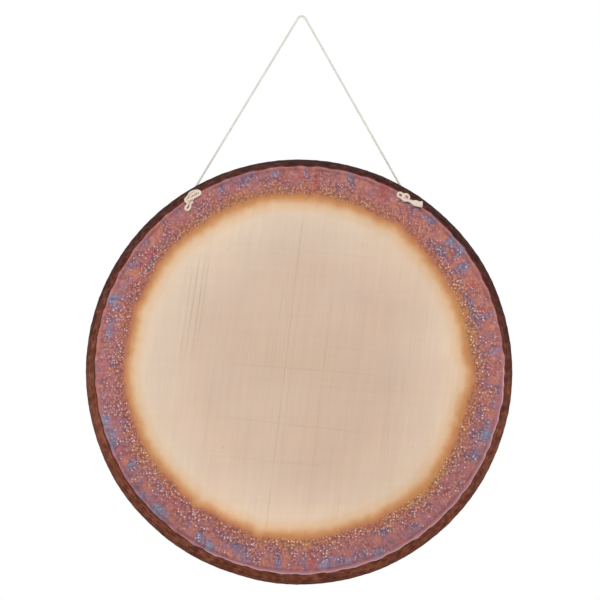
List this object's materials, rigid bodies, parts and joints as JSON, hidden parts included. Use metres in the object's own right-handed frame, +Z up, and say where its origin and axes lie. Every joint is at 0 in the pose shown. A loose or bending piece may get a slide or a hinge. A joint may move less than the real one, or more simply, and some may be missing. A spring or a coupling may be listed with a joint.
{
  "type": "tam gong",
  "caption": "Round hammered bronze tam gong with a turned-back rim and a pale ground centre, hung by a thin braided cord that is knotted through the face and loops over a hook.",
  "frame": {"origin": "the point under the cord's top bend where a hook bears", "axes": "+Z up, +Y from the struck face to the back, +X to the right as seen from the front"},
  "size_m": [0.6, 0.1246, 0.8038],
  "materials": {
    "bronze": "hammered and heat-tinted, with a ground centre",
    "cord": "braided"
  },
  "bodies": {
    "hook_stretch": {"cord_over_hook": "cord"},
    "bends": {"cord_bend_left": "cord", "cord_bend_right": "cord"},
    "necks": {"cord_neck_left": "cord", "cord_neck_right": "cord"},
    "legs": {"cord_leg_left": "cord", "cord_leg_right": "cord"},
    "gong": {"gong_plate": "bronze", "cord_end_left": "cord", "cord_end_right": "cord"}
  },
  "joints": [
    {"name": "turn", "type": "hinge", "parent": "hook_stretch", "child": "bends", "pos_m": [0, 0, 0.0015], "axis": [0, 0, 1], "range_deg": [-30, 30], "stiffness_Nm_per_rad": 0.16},
    {"name": "sway", "type": "hinge", "parent": "bends", "child": "necks", "pos_m": [0, 0, 0.0015], "axis": [0, 1, 0], "range_deg": [-12, 12]},
    {"name": "swing", "type": "hinge", "parent": "necks", "child": "legs", "pos_m": [0, 0, -0.00333], "axis": [1, 0, 0], "range_deg": [-30, 30]},
    {"name": "tilt", "type": "hinge", "parent": "legs", "child": "gong", "pos_m": [0, 0, -0.244], "axis": [0.9999, 0, 0.014], "range_deg": [-15, 15]}
  ]
}
